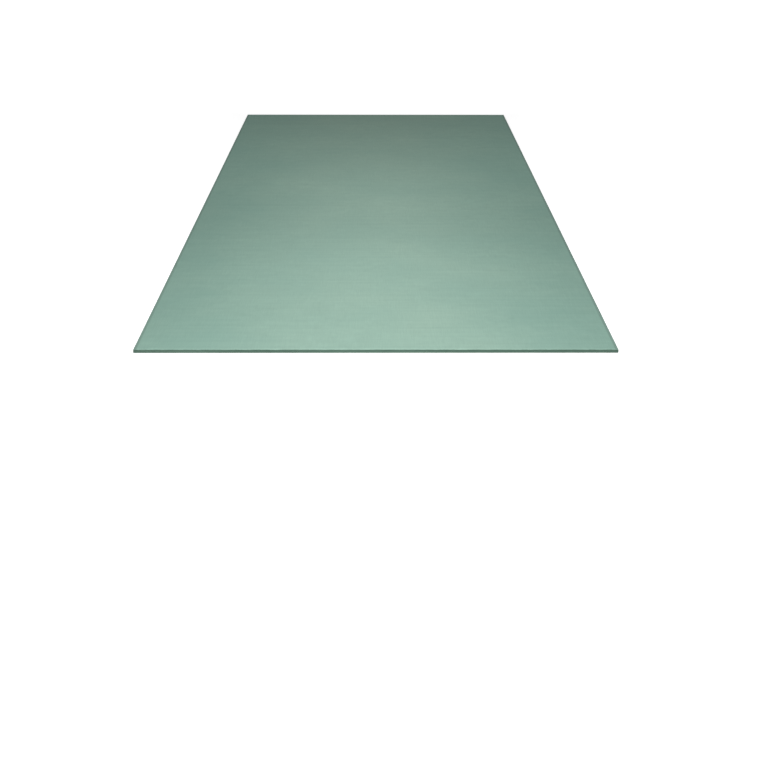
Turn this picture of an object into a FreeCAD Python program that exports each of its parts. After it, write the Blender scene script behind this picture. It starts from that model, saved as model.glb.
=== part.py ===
"""A moisture-resistant plywood sheet, as sold: one flat board with green faces and green sealed edges.

The sheet is one solid, because its veneers are glued into one board and nothing on it comes apart.
It lies flat on the ground. Its width runs along X, its length along Y and its thickness up Z.
The origin is the middle of the underside, the face that it rests on.
The sheet is sawn square, its four corners are just off sharp, and every arris is eased by sanding.
"""

import FreeCAD
import Part

import os

# Driving dimensions, in millimetres.
SHEET_WIDTH = 1220.0  # a four-foot sheet
SHEET_LENGTH = 3050.0  # a ten-foot sheet
SHEET_THICKNESS = 9.0
CORNER_RADIUS = 1.5  # the four upright corners, seen from above
ARRIS_RADIUS = 0.6  # where each face meets the edges and ends

PARTS_FOLDER = "parts"
SAME_HEIGHT = 1e-6  # two heights nearer than this are the same height


def sawn_blank():
    """The sheet as the saw leaves it: square edges, centred on the origin, with its underside at Z = 0."""
    low_corner = FreeCAD.Vector(-SHEET_WIDTH / 2, -SHEET_LENGTH / 2, 0)
    return Part.makeBox(SHEET_WIDTH, SHEET_LENGTH, SHEET_THICKNESS, low_corner)


def upright_corners(board):
    """The edges that run straight up from the underside to the upper face."""
    return [edge for edge in board.Edges if edge.BoundBox.ZLength > SHEET_THICKNESS / 2]


def face_arrises(board):
    """The edges that lie wholly in the underside or wholly in the upper face."""
    return [edge for edge in board.Edges if edge.BoundBox.ZLength < SAME_HEIGHT]


def eased_sheet():
    """The finished sheet: the upright corners are rounded first, so that the arrises run round them."""
    blank = sawn_blank()
    cornered = blank.makeFillet(CORNER_RADIUS, upright_corners(blank))
    return cornered.makeFillet(ARRIS_RADIUS, face_arrises(cornered))


def write_part(name, shape):
    """Writes one piece to its own STEP file, after a test that it is one sound solid."""
    if not shape.isValid() or len(shape.Solids) != 1:
        raise ValueError(f"{name} is not one valid solid")
    shape.exportStep(os.path.join(PARTS_FOLDER, name + ".step"))
    box = shape.optimalBoundingBox(False, False)
    print(f"{name}: {box.XLength:.1f} x {box.YLength:.1f} x {box.ZLength:.1f} mm, {shape.Volume / 1e9:.5f} m3")


os.makedirs(PARTS_FOLDER, exist_ok=True)
write_part("plywood_sheet", eased_sheet())
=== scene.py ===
import math

import bmesh
import bpy
from mathutils import Matrix, Vector, noise


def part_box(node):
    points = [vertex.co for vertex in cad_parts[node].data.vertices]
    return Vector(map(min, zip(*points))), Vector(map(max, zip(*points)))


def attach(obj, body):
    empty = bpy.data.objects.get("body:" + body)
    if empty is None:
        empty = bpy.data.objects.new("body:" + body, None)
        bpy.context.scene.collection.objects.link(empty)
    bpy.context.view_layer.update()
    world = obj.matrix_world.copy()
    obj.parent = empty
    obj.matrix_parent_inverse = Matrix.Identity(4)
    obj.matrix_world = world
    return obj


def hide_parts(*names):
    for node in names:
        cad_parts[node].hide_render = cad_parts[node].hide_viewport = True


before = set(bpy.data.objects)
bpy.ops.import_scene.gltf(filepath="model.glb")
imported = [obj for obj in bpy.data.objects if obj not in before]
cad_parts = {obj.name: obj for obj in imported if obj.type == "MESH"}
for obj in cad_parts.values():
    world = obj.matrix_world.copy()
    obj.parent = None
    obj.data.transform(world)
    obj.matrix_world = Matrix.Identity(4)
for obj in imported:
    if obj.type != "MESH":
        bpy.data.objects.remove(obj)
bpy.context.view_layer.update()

boardLow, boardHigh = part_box("plywood_sheet")
boardWidth = boardHigh.x - boardLow.x
boardLength = boardHigh.y - boardLow.y
boardThickness = boardHigh.z - boardLow.z
boardCentre = (boardLow + boardHigh) / 2
print("frame loaded, board", round(boardWidth, 4), round(boardLength, 4), round(boardThickness, 4))


class Wire:
    # one socket that takes part in sums: each operator adds its own Math node to the tree
    def __init__(self, recipe, socket):
        self.recipe = recipe
        self.socket = socket

    def maths(self, operation, *values):
        sockets = dict(enumerate(values))
        return self.recipe.node("ShaderNodeMath", {"operation": operation}, sockets)

    def __add__(self, other):
        return self.maths("ADD", self, other)

    def __radd__(self, other):
        return self.maths("ADD", other, self)

    def __sub__(self, other):
        return self.maths("SUBTRACT", self, other)

    def __rsub__(self, other):
        return self.maths("SUBTRACT", other, self)

    def __mul__(self, other):
        return self.maths("MULTIPLY", self, other)

    def __rmul__(self, other):
        return self.maths("MULTIPLY", other, self)

    def __truediv__(self, other):
        return self.maths("DIVIDE", self, other)

    def __abs__(self):
        return self.maths("ABSOLUTE", self)

    def whole(self):
        return self.maths("FLOOR", self)

    def remainder(self):
        return self.maths("FRACT", self)

    def wave(self):
        return self.maths("SINE", self)

    def above(self, other):
        return self.maths("GREATER_THAN", self, other)

    def least(self, other):
        return self.maths("MINIMUM", self, other)

    def most(self, other):
        return self.maths("MAXIMUM", self, other)

    def clamp(self):
        return self.most(0.0).least(1.0)

    def between(self, first, last):
        # first where this is 0, last where it is 1
        return first + (last - first) * self

    def fade(self, start, end):
        # 0 at start, 1 at end and smooth between them, whichever is the larger
        sockets = {"Value": self, "From Min": min(start, end), "From Max": max(start, end)}
        risen = self.recipe.node("ShaderNodeMapRange", {"interpolation_type": "SMOOTHSTEP"}, sockets)
        return risen if start < end else 1 - risen

    def also(self, name):
        # another output of the node that this one comes from
        return Wire(self.recipe, self.socket.node.outputs[name])


class Recipe:
    # one node tree, of a material or of the world
    def __init__(self, owner):
        owner.use_nodes = True
        self.tree = owner.node_tree
        self.tree.nodes.clear()

    def find(self, sockets, key):
        if isinstance(key, int):
            return sockets[key]
        return next(socket for socket in sockets if key in (socket.identifier, socket.name))

    def node(self, kind, settings, sockets, output=0):
        made = self.tree.nodes.new(kind)
        for name, value in settings.items():
            setattr(made, name, value)
        for key, value in sockets.items():
            socket = self.find(made.inputs, key)
            if isinstance(value, Wire):
                self.tree.links.new(value.socket, socket)
            else:
                socket.default_value = value
        return Wire(self, self.find(made.outputs, output)) if made.outputs else made

    def blend(self, factor, first, second, way="MIX"):
        settings = {"data_type": "RGBA", "blend_type": way}
        sockets = {"Factor_Float": factor, "A_Color": first, "B_Color": second}
        return self.node("ShaderNodeMix", settings, sockets, "Result_Color")

    def place(self, stretch=(1, 1, 1)):
        # a point of the board in metres, with each axis stretched
        point = self.node("ShaderNodeTexCoord", {}, {}, "Object")
        return self.node("ShaderNodeVectorMath", {"operation": "MULTIPLY"}, {0: point, 1: stretch})

    def axes(self):
        split = self.node("ShaderNodeSeparateXYZ", {}, {0: self.place()})
        return split, split.also("Y"), split.also("Z")

    def cloud(self, size, detail=2.0, stretch=(1, 1, 1), rough=0.5):
        # noise from about -1 to 1 whose lumps are about this many metres across
        sockets = {"Vector": self.place(stretch), "Scale": 1 / size, "Detail": detail, "Roughness": rough}
        return 2 * self.node("ShaderNodeTexNoise", {}, sockets) - 1

    def grain(self, width, length, along, detail=2.0):
        # noise in streaks that run along the named axes
        stretch = [width / length if axis in along else 1 for axis in "xyz"]
        return self.cloud(width, detail, stretch)

    def cells(self, size):
        # distance from the middle of the nearest cell, as a share of its size, and each cell's own number
        middle = self.node("ShaderNodeTexVoronoi", {}, {"Vector": self.place(), "Scale": 1 / size})
        own = self.node("ShaderNodeSeparateColor", {}, {0: middle.also("Color")})
        return middle, own

    def finish(self, look, colour, rough, height):
        # what both of the sheet's finishes end with
        sockets = {"Strength": 1.0, "Distance": look["relief"], "Height": height}
        shader = self.node("ShaderNodeBsdfPrincipled", {}, {
            "Base Color": colour,
            "Roughness": rough,
            "Specular IOR Level": look["gloss"],
            "Normal": self.node("ShaderNodeBump", {}, sockets),
        })
        self.node("ShaderNodeOutputMaterial", {}, {"Surface": shader})


cameraStand = {
    "fromNearEnd": 2.9037,  # metres in front of the sheet's near end
    "aboveFace": 1.1468,
    "offCentre": -0.0012,
    "tiltDown": 23.132,  # degrees
    "turnRight": 0.418,
    "roll": 0.129,
    "lens": 58.25,  # millimetres, as the sensor is
    "sensor": 36,
    "reach": 100,
}


def setCamera(stand):
    data = bpy.data.cameras.new("camera")
    data.sensor_width = stand["sensor"]
    data.lens = stand["lens"]
    data.clip_end = stand["reach"]
    camera = bpy.data.objects.new("camera", data)
    bpy.context.scene.collection.objects.link(camera)
    across = boardCentre.x + stand["offCentre"]
    spot = Vector((across, boardLow.y - stand["fromNearEnd"], boardHigh.z + stand["aboveFace"]))
    turned = Matrix.Rotation(math.radians(-stand["turnRight"]), 4, "Z")
    tilted = Matrix.Rotation(math.radians(90 - stand["tiltDown"]), 4, "X")
    rolled = Matrix.Rotation(math.radians(stand["roll"]), 4, "Z")
    camera.matrix_world = Matrix.Translation(spot) @ turned @ tilted @ rolled
    bpy.context.scene.camera = camera


setCamera(cameraStand)
print("camera set")


board = {
    "cornerRadius": 0.0015,  # the upright corners, seen from above
    "arrisRadius": 0.0006,
    "arrisSteps": 5,
    "cornerSteps": 6,
    "cell": 0.015,  # the squares that each face is divided into
    "plies": 7,
    "glueLine": 0.00008,  # half the width of the groove where two veneers meet
    "glueDepth": 0.00006,
    "endGrainDepth": 0.00005,  # how far a veneer's end grain is sanded back beyond its side grain
    "edgeDrift": 0.00004,  # how much each veneer's edge wanders along the cut
    "edgeLump": 0.06,
    "faceDrift": 0.00006,  # how far the faces rise and fall
    "faceLump": 0.16,
    "ripple": 0.2,  # smaller waves on those, as a share of them
    "rippleTimes": 3.1,  # and how many to one of them
    "arrisRub": 0.00007,  # the most that handling has taken off an arris
    "rubLump": 0.09,
}

# where in the noise each thing is read, so that no two of them match
seeds = {"face": 7.3, "ripple": 40, "ply": 5.1, "edgeX": 3, "edgeY": 7, "rubAndHighlight": 3}


def spread(low, high, step):
    count = max(1, round((high - low) / step))
    return [low + (high - low) * i / count for i in range(count + 1)]


def lumps(x, y, seed):
    return noise.noise(Vector((x, y, seed)))


def edgeRows(shape):
    # (distance in from the cut edge, height, veneer number, groove) from the underside to the upper face
    radius, thickness = shape["arrisRadius"], boardThickness
    ply = thickness / shape["plies"]
    arc = [math.pi / 2 * i / shape["arrisSteps"] for i in range(shape["arrisSteps"] + 1)]
    rows = [(radius * (1 - math.sin(a)), radius * (1 - math.cos(a)), 0, 0.0) for a in arc]
    for seam in range(1, shape["plies"]):
        height = seam * ply
        rows.append((0.0, height - ply / 2 if seam > 1 else (radius + height) / 2, seam - 1, 0.0))
        rows.append((0.0, height - shape["glueLine"], seam - 1, 0.0))
        rows.append((0.0, height, seam, 1.0))
        rows.append((0.0, height + shape["glueLine"], seam, 0.0))
    rows.append((0.0, thickness - (radius + ply) / 2, shape["plies"] - 1, 0.0))
    for inset, height, _, _ in reversed(rows[:len(arc)]):
        rows.append((inset, thickness - height, shape["plies"] - 1, 0.0))
    return rows


def outline(shape, xs, ys):
    # (point on the flat middle of the face, outward direction), once round from the near left corner
    left, right, near, far = xs[0], xs[-1], ys[0], ys[-1]
    walk = []

    def corner(x, y, startAngle):
        for i in range(1, shape["cornerSteps"]):
            angle = math.radians(startAngle + 90 * i / shape["cornerSteps"])
            walk.append((Vector((x, y)), Vector((math.cos(angle), math.sin(angle)))))

    walk += [(Vector((x, near)), Vector((0, -1))) for x in xs]
    corner(right, near, -90)
    walk += [(Vector((right, y)), Vector((1, 0))) for y in ys]
    corner(right, far, 0)
    walk += [(Vector((x, far)), Vector((0, 1))) for x in reversed(xs)]
    corner(left, far, 90)
    walk += [(Vector((left, y)), Vector((-1, 0))) for y in reversed(ys)]
    corner(left, near, 180)
    return walk


def faceFall(shape, x, y, side):
    # how far the face has sunk below its highest level here
    across, along = x / shape["faceLump"], y / shape["faceLump"]
    times = shape["rippleTimes"]
    wave = lumps(across, along, side * seeds["face"])
    ripple = lumps(across * times, along * times, side * seeds["face"] + seeds["ripple"])
    return shape["faceDrift"] * min(1, max(0, 0.5 + 0.5 * wave + shape["ripple"] * ripple))


def cutBack(shape, place, out, ply, groove):
    # how far the cut edge lies inside the sheet's own size here
    endShows = out.y ** 2 if ply % 2 == 0 else out.x ** 2
    run = place.x * abs(out.y) + place.y * abs(out.x)
    way = out.x * seeds["edgeX"] + out.y * seeds["edgeY"]
    drift = 0.5 + 0.5 * lumps(run / shape["edgeLump"], ply * seeds["ply"], way)
    return shape["endGrainDepth"] * endShows + shape["edgeDrift"] * drift + shape["glueDepth"] * groove


def standColumn(mesh, shape, place, out, rows):
    # one column of the cut edge's points, from the underside up to the upper face
    column = []
    for inset, height, ply, groove in rows:
        side = 1 if height > boardThickness / 2 else -1
        # the arris is rubbed most at mid-curve, and not at all where it meets the face
        nearFace = 1 - min(1, min(height, boardThickness - height) / shape["arrisRadius"])
        fall = faceFall(shape, place.x, place.y, side) * nearFace
        rubbing = lumps(place.x / shape["rubLump"], place.y / shape["rubLump"], side * seeds["rubAndHighlight"])
        rubAndHighlight = shape["arrisRub"] * math.sin(math.pi * nearFace) * (0.5 + 0.5 * rubbing)
        back = inset + cutBack(shape, place, out, ply, groove) + rubAndHighlight
        spot = place + out * (shape["cornerRadius"] - back)
        column.append(mesh.verts.new((spot.x, spot.y, boardLow.z + height - side * (fall + rubAndHighlight))))
    return column


def layFace(mesh, shape, xs, ys, columns, side):
    # the underside, where side is -1, or the upper face, and the strip that joins it to the cut edge
    level, row = (boardLow.z, 0) if side < 0 else (boardHigh.z, -1)
    grid = {}
    for i, x in enumerate(xs):
        for j, y in enumerate(ys):
            grid[i, j] = mesh.verts.new((x, y, level - side * faceFall(shape, x, y, side)))

    def lay(*corners):
        mesh.faces.new(corners if side > 0 else tuple(reversed(corners)))

    lastX, lastY = len(xs) - 1, len(ys) - 1
    for i in range(lastX):
        for j in range(lastY):
            lay(grid[i, j], grid[i + 1, j], grid[i + 1, j + 1], grid[i, j + 1])

    # the grid's own border, in the order of the outline: each column of the edge meets one of its points
    fan = shape["cornerSteps"] - 1
    border = [grid[i, 0] for i in range(lastX + 1)] + [grid[lastX, 0]] * fan
    border += [grid[lastX, j] for j in range(lastY + 1)] + [grid[lastX, lastY]] * fan
    border += [grid[i, lastY] for i in range(lastX, -1, -1)] + [grid[0, lastY]] * fan
    border += [grid[0, j] for j in range(lastY, -1, -1)] + [grid[0, 0]] * fan
    for number, here in enumerate(border):
        following = (number + 1) % len(border)
        there = border[following]
        inner = (here,) if here is there else (there, here)
        lay(columns[number][row], columns[following][row], *inner)


def makeBoard(shape):
    mesh = bmesh.new()
    radius = shape["cornerRadius"]
    xs = spread(boardLow.x + radius, boardHigh.x - radius, shape["cell"])
    ys = spread(boardLow.y + radius, boardHigh.y - radius, shape["cell"])
    rows = edgeRows(shape)
    columns = [standColumn(mesh, shape, place, out, rows) for place, out in outline(shape, xs, ys)]
    for column, beside in zip(columns, columns[1:] + columns[:1]):
        for low in range(len(rows) - 1):
            face = mesh.faces.new((column[low], beside[low], beside[low + 1], column[low + 1]))
            face.material_index = 1
    for side in (-1, 1):
        layFace(mesh, shape, xs, ys, columns, side)

    data = bpy.data.meshes.new("green_plywood_sheet")
    mesh.to_mesh(data)
    mesh.free()
    for polygon in data.polygons:
        polygon.use_smooth = True
    piece = bpy.data.objects.new("green_plywood_sheet", data)
    bpy.context.scene.collection.objects.link(piece)
    return piece


sheet = makeBoard(board)
print("board modelled,", len(sheet.data.polygons), "faces")


facing = {
    "deep": (0.218, 0.324, 0.267, 1.0),  # where the colour has gone on thickest
    "pale": (0.345, 0.508, 0.420, 1.0),
    "cool": (0.240, 0.403, 0.345, 1.0),  # a bluer green that it drifts to
    "coolShare": 0.16,
    "coolSwing": 0.40,
    "shadeWidth": 0.50,  # painted shade: the colour darkens a little from here out to the long edges, where the light falls off, and by them it is multiplied by this
    "shadeTint": (0.88, 0.94, 0.946, 1.0),  # and by them it is multiplied by this
    "cloudSize": 0.34,
    "cloud": 0.16,
    "patchSize": 0.26,  # the mottle and the lines come and go in patches
    "patchEdge": 1.3,  # how sharply a patch begins
    "mottleSize": 0.030,
    "mottleStretch": (0.7, 1, 1),
    "mottleRough": 0.6,
    "mottle": 0.20,
    "mottleOutside": 0.4,  # how much of the mottle shows outside a patch, and in one
    "mottleInside": 1.5,
    "drawWidth": 0.011,  # faint lines that the coater left across the sheet
    "drawLength": 0.80,
    "draw": 0.20,
    "drawOutside": 1.1,
    "drawInside": 0.2,
    "fibreWidth": 0.0012,  # the face veneer's grain, which runs lengthwise and barely shows through
    "fibreLength": 0.045,
    "fibre": 0.28,
    "dustSize": 0.0005,
    "dust": 0.16,
    "fleckSize": 0.014,  # one fleck to a square of this size, and most of them left out
    "fleckRadius": 0.10,  # as a share of that
    "fleckShare": 0.16,
    "fleck": 0.30,
    "highlightWidth": 0.0110,  # a paler line along the near end: a painted highlight where the arris there catches the light
    "rubAndHighlight": 0.66,
    "highlightEven": 0.75,
    "highlightMottle": 0.5,
    "lapWidth": 0.0100,  # the face is darker in a band along the long edges and the far end, by this much, and is at its darkest this far in
    "lapFull": 0.0055,  # and is at its darkest this far in
    "lap": 0.50,
    "lapEven": 0.85,
    "lapDraw": 0.4,
    "rimColour": (0.130, 0.185, 0.158, 1.0),
    "roughness": 0.78,
    "roughMottle": 0.06,
    "roughFibre": 0.07,
    "gloss": 0.08,
    "relief": 0.00007,  # metres, and each mark's share of it is below
    "fibreRelief": 0.4,
    "dustRelief": 0.15,
    "drawRelief": 0.12,
    "fleckRelief": 0.3,
}


def distances(recipe):
    # metres in from the nearer long edge, from the near end and from the far end, and up from the underside
    x, y, z = recipe.axes()
    fromSide = boardWidth / 2 - abs(x - boardCentre.x)
    return fromSide, y - boardLow.y, boardHigh.y - y, z - boardLow.z


def facingFinish(look):
    material = bpy.data.materials.new("greenFacing")
    recipe = Recipe(material)
    fromSide, fromNear, fromFar, _ = distances(recipe)

    cloud = recipe.cloud(look["cloudSize"], detail=3.0)
    patch = (0.5 + look["patchEdge"] * recipe.cloud(look["patchSize"])).clamp()
    mottle = recipe.cloud(look["mottleSize"], 3.0, look["mottleStretch"], look["mottleRough"])
    mottle = mottle * patch.between(look["mottleOutside"], look["mottleInside"])
    draw = recipe.grain(look["drawWidth"], look["drawLength"], "x")
    draw = draw * patch.between(look["drawOutside"], look["drawInside"])
    fibre = recipe.grain(look["fibreWidth"], look["fibreLength"], "y")
    dust = recipe.cloud(look["dustSize"], detail=1.0)
    spot, chance = recipe.cells(look["fleckSize"])
    flecks = spot.fade(look["fleckRadius"], look["fleckRadius"] / 2)
    flecks = flecks * chance.fade(1 - look["fleckShare"], 1.0)

    # a painted highlight along the near end, a little mottled
    rubAndHighlight = fromNear.fade(look["highlightWidth"], 0) * (look["highlightEven"] + look["highlightMottle"] * mottle)
    lap = fromSide.least(fromFar).fade(look["lapWidth"], look["lapFull"])
    lap = lap * (look["lapEven"] + look["lapDraw"] * draw)

    tone = 0.5 + look["cloud"] * cloud + look["mottle"] * mottle + look["draw"] * draw
    tone = tone + look["fibre"] * fibre + look["dust"] * dust + look["rubAndHighlight"] * rubAndHighlight - look["fleck"] * flecks
    colour = recipe.blend(tone.clamp(), look["deep"], look["pale"])
    colour = recipe.blend((look["coolShare"] - look["coolSwing"] * cloud).clamp(), colour, look["cool"])
    # painted shade: darker and greener towards the long edges
    colour = recipe.blend(fromSide.fade(look["shadeWidth"], 0), colour, look["shadeTint"], "MULTIPLY")
    colour = recipe.blend((look["lap"] * lap).clamp(), colour, look["rimColour"])

    rough = look["roughness"] + look["roughMottle"] * mottle + look["roughFibre"] * fibre
    height = 0.5 + look["fibreRelief"] * fibre + look["dustRelief"] * dust
    height = height + look["drawRelief"] * draw - look["fleckRelief"] * flecks
    recipe.finish(look, colour, rough, height)
    return material


sealedEdge = {
    "deep": (0.056, 0.106, 0.078, 1.0),
    "pale": (0.128, 0.212, 0.165, 1.0),
    "tone": 0.56,  # how far from deep to pale the sealer is on the whole
    "arrisShade": 0.34,  # painted shade: how much darker it is towards the upper face and paler down to the underside
    "endGrain": 0.26,  # how much darker a veneer's end grain has drawn it in
    "brushWidth": 0.0009,  # brush marks along the cut
    "brushLength": 0.16,
    "brush": 0.55,
    "patchSize": 0.24,
    "patch": 0.40,
    "poreSize": 0.0007,
    "pore": 0.22,
    "sawPitch": 0.0026,  # marks of the saw across the cut, leaning a little
    "sawLean": 0.35,
    "saw": 0.066,
    "sawEven": 0.6,
    "sawPatch": 0.8,
    "glue": (0.038, 0.068, 0.052, 1.0),
    "glueShare": 0.55,
    "glueHalf": 0.00011,  # half the width of a glue line, and of its darkest part
    "glueCore": 0.000033,
    "rubbed": (0.330, 0.495, 0.410, 1.0),  # where handling has taken the sealer off the arrises
    "arrisHeight": 0.0009,  # how far down that reaches, and how far it is bare
    "arrisBare": 0.00027,
    "wearSize": 0.016,
    "wearShare": 0.35,
    "wearEdge": 1.6,  # how sharply a worn place begins
    "wearSides": 0.40,
    "wearEnds": 0.75,
    "roughness": 0.62,
    "roughEndGrain": 0.12,
    "roughBrush": 0.10,
    "gloss": 0.2,
    "relief": 0.00012,  # metres, and each mark's share of it is below
    "brushRelief": 0.4,
    "poreRelief": 0.3,
    "sawRelief": 0.22,
    "glueRelief": 0.5,
}


def edgeFinish(look):
    material = bpy.data.materials.new("sealedEdge")
    recipe = Recipe(material)
    fromSide, fromNear, fromFar, up = distances(recipe)
    x, y, _ = recipe.axes()

    # which veneer this is, and how far from the nearest glue line
    plyThickness = boardThickness / board["plies"]
    layer = up / plyThickness
    ply = layer.whole()
    withinPly = layer - ply
    fromGlue = withinPly.least(1 - withinPly) * plyThickness
    glue = fromGlue.fade(look["glueHalf"], look["glueCore"])
    odd = (ply / 2).remainder() * 2
    onEnd = fromSide.above(fromNear.least(fromFar))
    # even veneers run lengthwise and show end grain at the ends, odd ones at the long edges
    endGrain = abs(odd - onEnd)

    brush = recipe.grain(look["brushWidth"], look["brushLength"], "xy", detail=3.0)
    patch = recipe.cloud(look["patchSize"], detail=3.0)
    pores = recipe.cloud(look["poreSize"]) * endGrain
    run = (x + y) / look["sawPitch"] + up * (look["sawLean"] / look["sawPitch"])
    saw = (run * math.tau).wave() * (look["sawEven"] + look["sawPatch"] * patch)

    tone = look["tone"] - look["endGrain"] * endGrain + look["brush"] * brush + look["patch"] * patch
    tone = tone + look["pore"] * pores + look["saw"] * saw
    # painted shade: darker towards the upper face, paler towards the underside
    tone = tone + look["arrisShade"] * (0.5 - up / boardThickness)
    colour = recipe.blend(tone.clamp(), look["deep"], look["pale"])
    colour = recipe.blend((look["glueShare"] * glue).clamp(), colour, look["glue"])
    arris = up.least(boardThickness - up).fade(look["arrisHeight"], look["arrisBare"])
    worn = look["wearShare"] + look["wearEdge"] * recipe.cloud(look["wearSize"], 4.0, rough=0.6)
    wear = arris * worn.clamp() * onEnd.between(look["wearSides"], look["wearEnds"])
    colour = recipe.blend(wear.clamp(), colour, look["rubbed"])

    rough = look["roughness"] + look["roughEndGrain"] * endGrain + look["roughBrush"] * brush
    height = 0.5 + look["brushRelief"] * brush + look["poreRelief"] * pores
    height = height + look["sawRelief"] * saw - look["glueRelief"] * glue
    recipe.finish(look, colour, rough, height)
    return material


sheet.data.materials.append(facingFinish(facing))
sheet.data.materials.append(edgeFinish(sealedEdge))
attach(sheet, "root")
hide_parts("plywood_sheet")
print("finishes made")


studio = {
    "floorSize": 40.0,
    "floorGap": 0.0001,
    "floorTone": 0.82,
    "glowNear": 0.68,  # how white the floor is by itself, next to the sheet and away from it
    "glowFar": 1.0,
    "glowFrom": 0.03,  # metres out from the sheet's outline
    "glowTo": 0.45,
    "roomLight": 0.30,
}

# along and aim are metres beyond the sheet's near end, where the lamp hangs and where it points
lamps = {
    "frontLamp": {"along": -0.8, "height": 1.2, "size": 1.2, "watts": 25.7, "spread": 180, "aim": 0.5},
    "poolLamp": {"along": 0.68, "height": 1.5, "size": 0.5, "watts": 0.66, "spread": 60, "aim": 0.68},
    "farPoolLamp": {"along": 1.5, "height": 1.2, "size": 0.4, "watts": 0.20, "spread": 60, "aim": 1.5},
    "backLamp": {"along": 2.2, "height": 1.6, "size": 0.4, "watts": 6.9, "spread": 180, "aim": 0.5},
}


def grey(level):
    return (level, level, level, 1.0)


def directlySeen(recipe):
    # 1 for a ray from the camera, a reflection or a view through something clear
    path = recipe.node("ShaderNodeLightPath", {}, {}, "Is Camera Ray")
    return path.most(path.also("Is Glossy Ray")).most(path.also("Is Transmission Ray"))


def makeFloor(room):
    half = room["floorSize"] / 2
    level = boardLow.z - room["floorGap"]
    corners = [(-half, -half, level), (half, -half, level), (half, half, level), (-half, half, level)]
    data = bpy.data.meshes.new("floor")
    data.from_pydata(corners, [], [(0, 1, 2, 3)])
    floor = bpy.data.objects.new("floor", data)
    bpy.context.scene.collection.objects.link(floor)
    material = bpy.data.materials.new("paleFloor")
    recipe = Recipe(material)
    paint = recipe.node("ShaderNodeBsdfDiffuse", {}, {"Color": grey(room["floorTone"])})
    fromSide, fromNear, fromFar, _ = distances(recipe)
    away = (0 - fromSide.least(fromNear).least(fromFar)).fade(room["glowFrom"], room["glowTo"])
    glowTone = recipe.blend(away, grey(room["glowNear"]), grey(room["glowFar"]))
    glow = recipe.node("ShaderNodeEmission", {}, {"Color": glowTone, "Strength": 1.0})
    lit = recipe.node("ShaderNodeAddShader", {}, {0: paint, 1: glow})
    shown = recipe.node("ShaderNodeMixShader", {}, {0: directlySeen(recipe), 1: paint, 2: lit})
    recipe.node("ShaderNodeOutputMaterial", {}, {"Surface": shown})
    data.materials.append(material)


def makeRoom(room):
    world = bpy.data.worlds.new("room")
    bpy.context.scene.world = world
    recipe = Recipe(world)
    light = recipe.node("ShaderNodeBackground", {}, {"Color": grey(1), "Strength": room["roomLight"]})
    white = recipe.node("ShaderNodeBackground", {}, {"Color": grey(1), "Strength": 1.0})
    shown = recipe.node("ShaderNodeMixShader", {}, {0: directlySeen(recipe), 1: light, 2: white})
    recipe.node("ShaderNodeOutputWorld", {}, {"Surface": shown})


def hangLamp(name, lamp):
    data = bpy.data.lights.new(name, "AREA")
    data.shape = "DISK"
    data.size = lamp["size"]
    data.energy = lamp["watts"]
    data.spread = math.radians(lamp["spread"])
    hung = bpy.data.objects.new(name, data)
    bpy.context.scene.collection.objects.link(hung)
    spot = Vector((boardCentre.x, boardLow.y + lamp["along"], lamp["height"]))
    aim = Vector((boardCentre.x, boardLow.y + lamp["aim"], boardLow.z))
    hung.location = spot
    hung.rotation_euler = (aim - spot).to_track_quat("-Z", "Y").to_euler()


makeFloor(studio)
makeRoom(studio)
for name, lamp in lamps.items():
    hangLamp(name, lamp)
print("floor, room and lamps made")

bpy.context.scene.view_settings.view_transform = "Standard"
